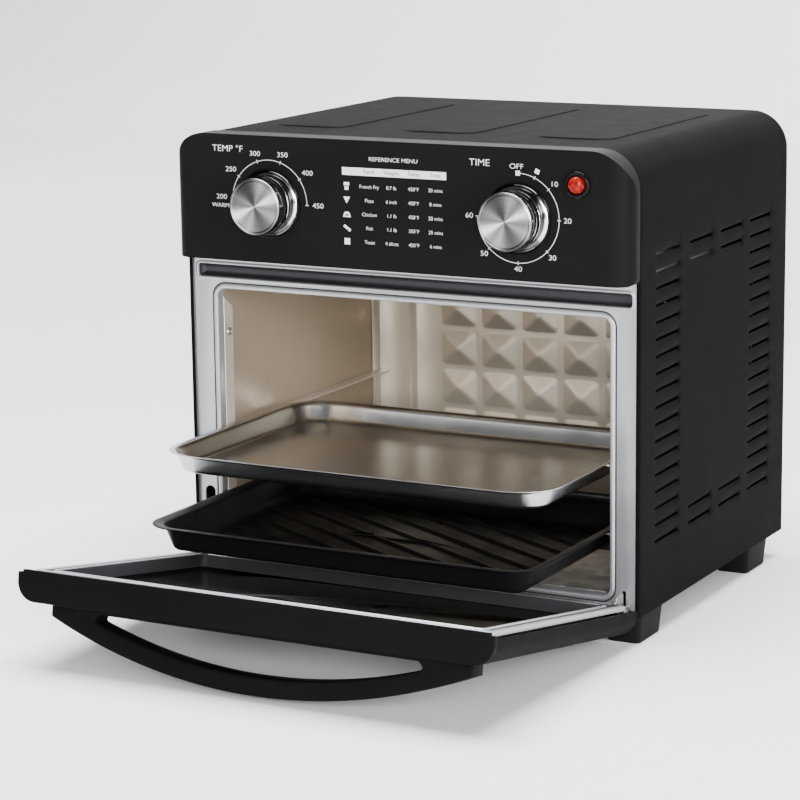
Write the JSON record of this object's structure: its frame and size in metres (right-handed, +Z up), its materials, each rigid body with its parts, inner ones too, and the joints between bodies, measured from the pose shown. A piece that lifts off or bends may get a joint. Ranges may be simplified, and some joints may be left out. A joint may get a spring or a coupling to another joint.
{
  "type": "toaster oven",
  "caption": "Countertop toaster oven with a drop-down glass door and bow handle, slide-in trays, dial controls and a louvred steel casing.",
  "frame": {"origin": "centre of the bounding box in X and Y, on the surface that the feet stand on, with the door open and the trays drawn out", "axes": "+X to the right seen from the front, +Y from the front to the back, +Z up"},
  "size_m": [0.36, 0.5096, 0.346],
  "materials": {
    "black_paint": "satin, fine texture",
    "black_plastic": "matte",
    "gloss_black_plastic": "satin gloss",
    "silver_paint": "metallic silver paint",
    "stainless": "mill finish",
    "galvanised": "zinc plated",
    "black_enamel": "glossy baked enamel",
    "polished_steel": "bright",
    "aluminium": "spun",
    "chrome": "polished",
    "door_glass": "smooth, lightly tinted",
    "red_lens": "translucent, faceted",
    "dark_steel": "oxide"
  },
  "bodies": {
    "cabinet": {"outer_wrap": "black_paint", "back_panel": "black_paint", "foot_front_left": "black_plastic", "foot_rear_left": "black_plastic", "foot_front_right": "black_plastic", "foot_rear_right": "black_plastic", "cord_gland": "black_plastic", "control_panel": "gloss_black_plastic", "lamp_bezel": "gloss_black_plastic", "front_frame": "silver_paint", "cavity_left_wall": "stainless", "cavity_right_wall": "stainless", "cavity_back": "stainless", "cavity_ceiling": "stainless", "cavity_floor": "stainless", "rack_guide_left": "stainless", "rack_guide_right": "stainless", "fan_guard": "stainless", "base_pan": "galvanised", "vent_channel": "galvanised", "guide_screw_upper_left": "galvanised", "guide_screw_lower_left": "galvanised", "guide_screw_upper_right": "galvanised", "guide_screw_lower_right": "galvanised", "fan_housing": "galvanised", "fan_motor": "galvanised", "thermostat": "galvanised", "timer_unit": "galvanised", "hinge_bracket_left": "galvanised", "hinge_bracket_right": "galvanised", "temperature_dial_ring": "chrome", "timer_dial_ring": "chrome", "timer_bell": "chrome", "lamp_lens": "red_lens", "heater_lower_front": "dark_steel", "heater_upper_front": "dark_steel", "heater_lower_rear": "dark_steel", "heater_upper_rear": "dark_steel", "hinge_pin_left": "dark_steel", "hinge_pin_right": "dark_steel", "door_spring": "dark_steel"},
    "door": {"door_outer_frame": "black_paint", "door_inner_frame": "silver_paint", "door_glass": "door_glass", "door_cap": "gloss_black_plastic", "door_handle": "gloss_black_plastic", "hinge_arm_left": "galvanised", "hinge_arm_right": "galvanised"},
    "temperature_dial": {"temperature_knob": "gloss_black_plastic", "temperature_knob_face": "aluminium", "temperature_shaft": "dark_steel"},
    "timer_dial": {"timer_knob": "gloss_black_plastic", "timer_knob_face": "aluminium", "timer_shaft": "dark_steel"},
    "fan_rotor": {"fan_wheel": "aluminium", "fan_shaft": "dark_steel"},
    "upper_tray": {"steel_tray": "polished_steel"},
    "lower_pan": {"baking_pan": "black_enamel"},
    "crumb_drawer": {"crumb_tray": "galvanised"}
  },
  "joints": [
    {"name": "door_hinge", "type": "hinge", "parent": "cabinet", "child": "door", "pos_m": [0, -0.03037, 0.026], "axis": [1, 0, 0], "range_deg": [-80, 0], "deforming": ["door_spring"]},
    {"name": "steel_tray_slide", "type": "slide", "parent": "cabinet", "child": "upper_tray", "axis": [0, 1, 0], "range_m": [0, 0.112]},
    {"name": "baking_pan_slide", "type": "slide", "parent": "cabinet", "child": "lower_pan", "axis": [0, 1, 0], "range_m": [0, 0.149]},
    {"name": "temperature_knob_turn", "type": "hinge", "parent": "cabinet", "child": "temperature_dial", "pos_m": [-0.098, -0.05, 0.298], "axis": [0, -1, 0], "range_deg": [-41, 139]},
    {"name": "timer_knob_turn", "type": "hinge", "parent": "cabinet", "child": "timer_dial", "pos_m": [0.098, -0.05, 0.298], "axis": [0, -1, 0], "range_deg": [-202.4, 67.6]},
    {"name": "fan_spin", "type": "hinge", "parent": "cabinet", "child": "fan_rotor", "pos_m": [0, 0.10883, 0.25], "axis": [0, 0, 1], "continuous": true},
    {"name": "crumb_tray_slide", "type": "slide", "parent": "cabinet", "child": "crumb_drawer", "axis": [0, 1, 0], "range_m": [0, 0.22]}
  ],
  "couplings": [
    {"joint": "steel_tray_slide", "follows": "door_hinge", "m_per_rad": -0.08021},
    {"joint": "baking_pan_slide", "follows": "door_hinge", "m_per_rad": -0.10671}
  ]
}
